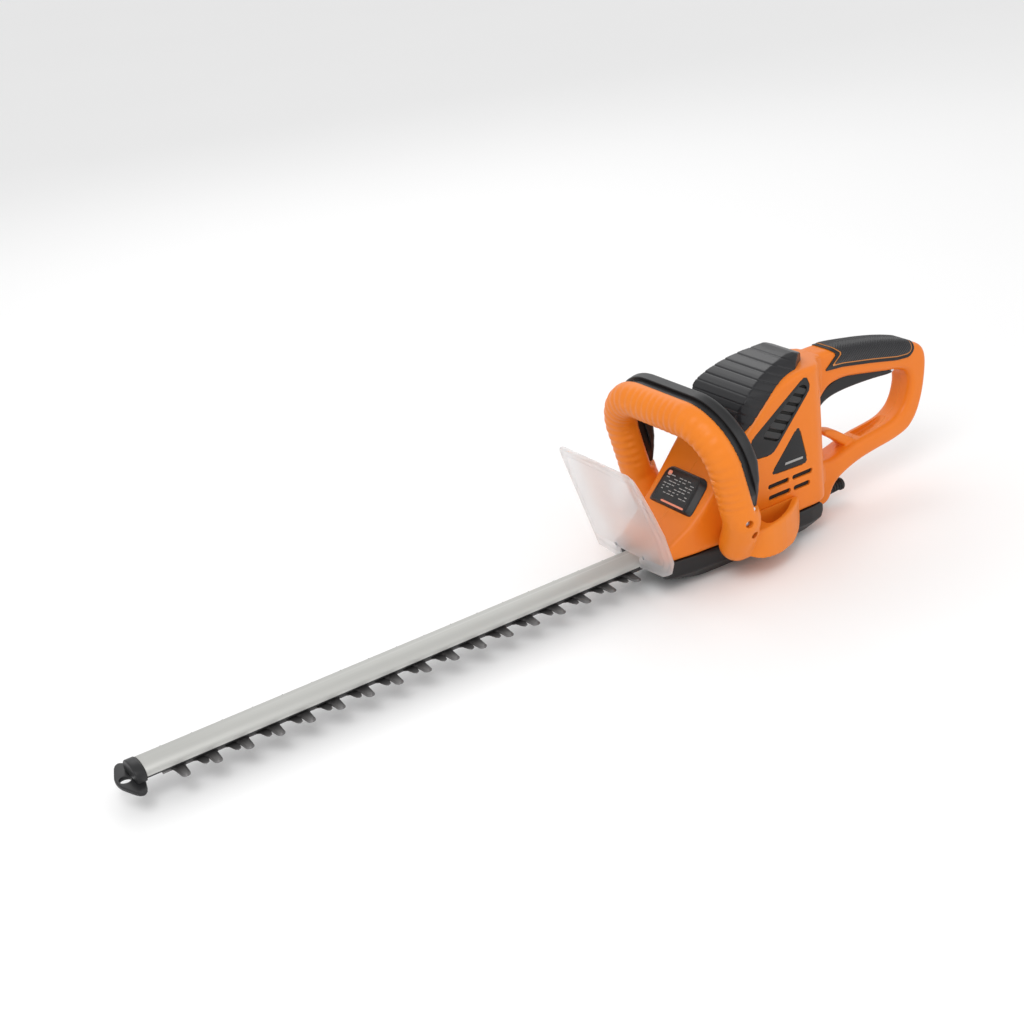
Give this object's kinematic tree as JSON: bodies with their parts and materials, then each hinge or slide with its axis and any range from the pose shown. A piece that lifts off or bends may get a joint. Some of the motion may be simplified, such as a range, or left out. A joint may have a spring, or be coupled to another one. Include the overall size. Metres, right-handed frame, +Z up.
{
  "type": "hedge trimmer",
  "caption": "Corded hedge trimmer with a twin-comb reciprocating blade, clear hand guard, front loop handle and closed rear handle.",
  "frame": {"origin": "centre of the flat sole under the base cover", "axes": "+Z up from the sole, +X towards the rear handle, the blade points to -X, -Y is the tool's left side as held"},
  "size_m": [0.943, 0.1992, 0.1963],
  "materials": {
    "orange_shell": "satin moulded",
    "black_shell": "satin moulded",
    "black_panel": "printed film",
    "zinc_screw": "zinc plated",
    "steel_pin": "ground",
    "spring_steel": "drawn wire",
    "switch_case": "moulded",
    "clear_guard": "frosted clear sheet",
    "beam_aluminium": "satin anodised",
    "tip_plastic": "moulded",
    "dark_strip": "black painted",
    "comb_steel": "blued, ground edges",
    "dark_bolt": "black oxide",
    "grip_rubber": "textured",
    "gland_rubber": "moulded",
    "capacitor_case": "moulded",
    "cast_alloy": "die cast",
    "plate_steel": "rolled",
    "bronze": "turned",
    "gear_steel": "hobbed",
    "winding_copper": "enamelled wire",
    "fan_nylon": "moulded",
    "stator_steel": "laminated",
    "bearing_steel": "ground",
    "carbon": "pressed carbon"
  },
  "bodies": {
    "body": {"housing_left": "orange_shell", "housing_right": "orange_shell", "housing_screws": "zinc_screw", "base_cover": "black_shell", "base_screws": "zinc_screw", "motor_cover": "black_shell", "label_panel": "black_panel", "vent_grille_left": "black_shell", "vent_grille_right": "black_shell", "badge_left": "black_panel", "badge_right": "black_panel", "front_handle": "orange_shell", "front_handle_screws": "zinc_screw", "switch_bar_pins": "steel_pin", "switch_bar_springs": "spring_steel", "front_switch": "switch_case", "hand_guard": "clear_guard", "guard_screws": "zinc_screw", "blade_beam": "beam_aluminium", "beam_end_cap": "black_shell", "tip_guard": "tip_plastic", "blade_strip": "dark_strip", "comb_bushes": "steel_pin", "comb_bolts": "dark_bolt", "comb_nuts": "zinc_screw", "comb_washers": "zinc_screw", "rear_grip": "grip_rubber", "trigger_pin": "steel_pin", "trigger_spring": "spring_steel", "rear_switch": "switch_case", "cord_gland": "gland_rubber", "capacitor": "capacitor_case", "gearcase_plate": "cast_alloy", "gearcase_base": "plate_steel", "crank_bushes": "bronze", "stator": "stator_steel", "stator_windings": "winding_copper", "motor_bearings": "bearing_steel", "motor_bracket": "switch_case", "brush_holders": "bronze", "brushes": "carbon"},
    "armature": {"armature_shaft": "steel_pin", "armature_core": "winding_copper", "commutator": "bronze", "fan": "fan_nylon", "pinion": "gear_steel"},
    "crank": {"crank_shaft": "steel_pin", "crank_gear": "gear_steel", "upper_eccentric": "gear_steel", "lower_eccentric": "gear_steel"},
    "upper_comb": {"upper_comb": "comb_steel"},
    "lower_comb": {"lower_comb": "comb_steel"},
    "rear_trigger": {"rear_trigger": "black_shell"},
    "front_switch_bar": {"front_switch_bar": "black_shell"}
  },
  "joints": [
    {"name": "armature_spin", "type": "hinge", "parent": "body", "child": "armature", "pos_m": [0.0375, 0, 0.1], "axis": [0, 0, 1], "range_deg": [-360, 360]},
    {"name": "crank_spin", "type": "hinge", "parent": "body", "child": "crank", "pos_m": [0, 0, 0.03], "axis": [0, 0, 1], "range_deg": [-90, 90]},
    {"name": "upper_comb_slide", "type": "slide", "parent": "body", "child": "upper_comb", "axis": [1, 0, 0], "range_m": [-0.005, 0.005]},
    {"name": "lower_comb_slide", "type": "slide", "parent": "body", "child": "lower_comb", "axis": [1, 0, 0], "range_m": [-0.005, 0.005]},
    {"name": "rear_trigger_squeeze", "type": "hinge", "parent": "body", "child": "rear_trigger", "pos_m": [0.22, 0, 0.129], "axis": [0, 1, 0], "range_deg": [0, 3.5], "stiffness_Nm_per_rad": 2, "springref_deg": -2.86, "deforming": ["trigger_spring"]},
    {"name": "front_switch_bar_squeeze", "type": "hinge", "parent": "body", "child": "front_switch_bar", "pos_m": [-0.04963, 0, 0.08965], "axis": [0, -1, 0], "range_deg": [0, 2.7], "stiffness_Nm_per_rad": 4, "springref_deg": -3.44, "deforming": ["switch_bar_springs"]}
  ],
  "couplings": [
    {"joint": "crank_spin", "follows": "armature_spin", "ratio": -0.25},
    {"joint": "upper_comb_slide", "follows": "armature_spin", "m_per_rad": 0.00079577},
    {"joint": "lower_comb_slide", "follows": "armature_spin", "m_per_rad": -0.00079577}
  ]
}
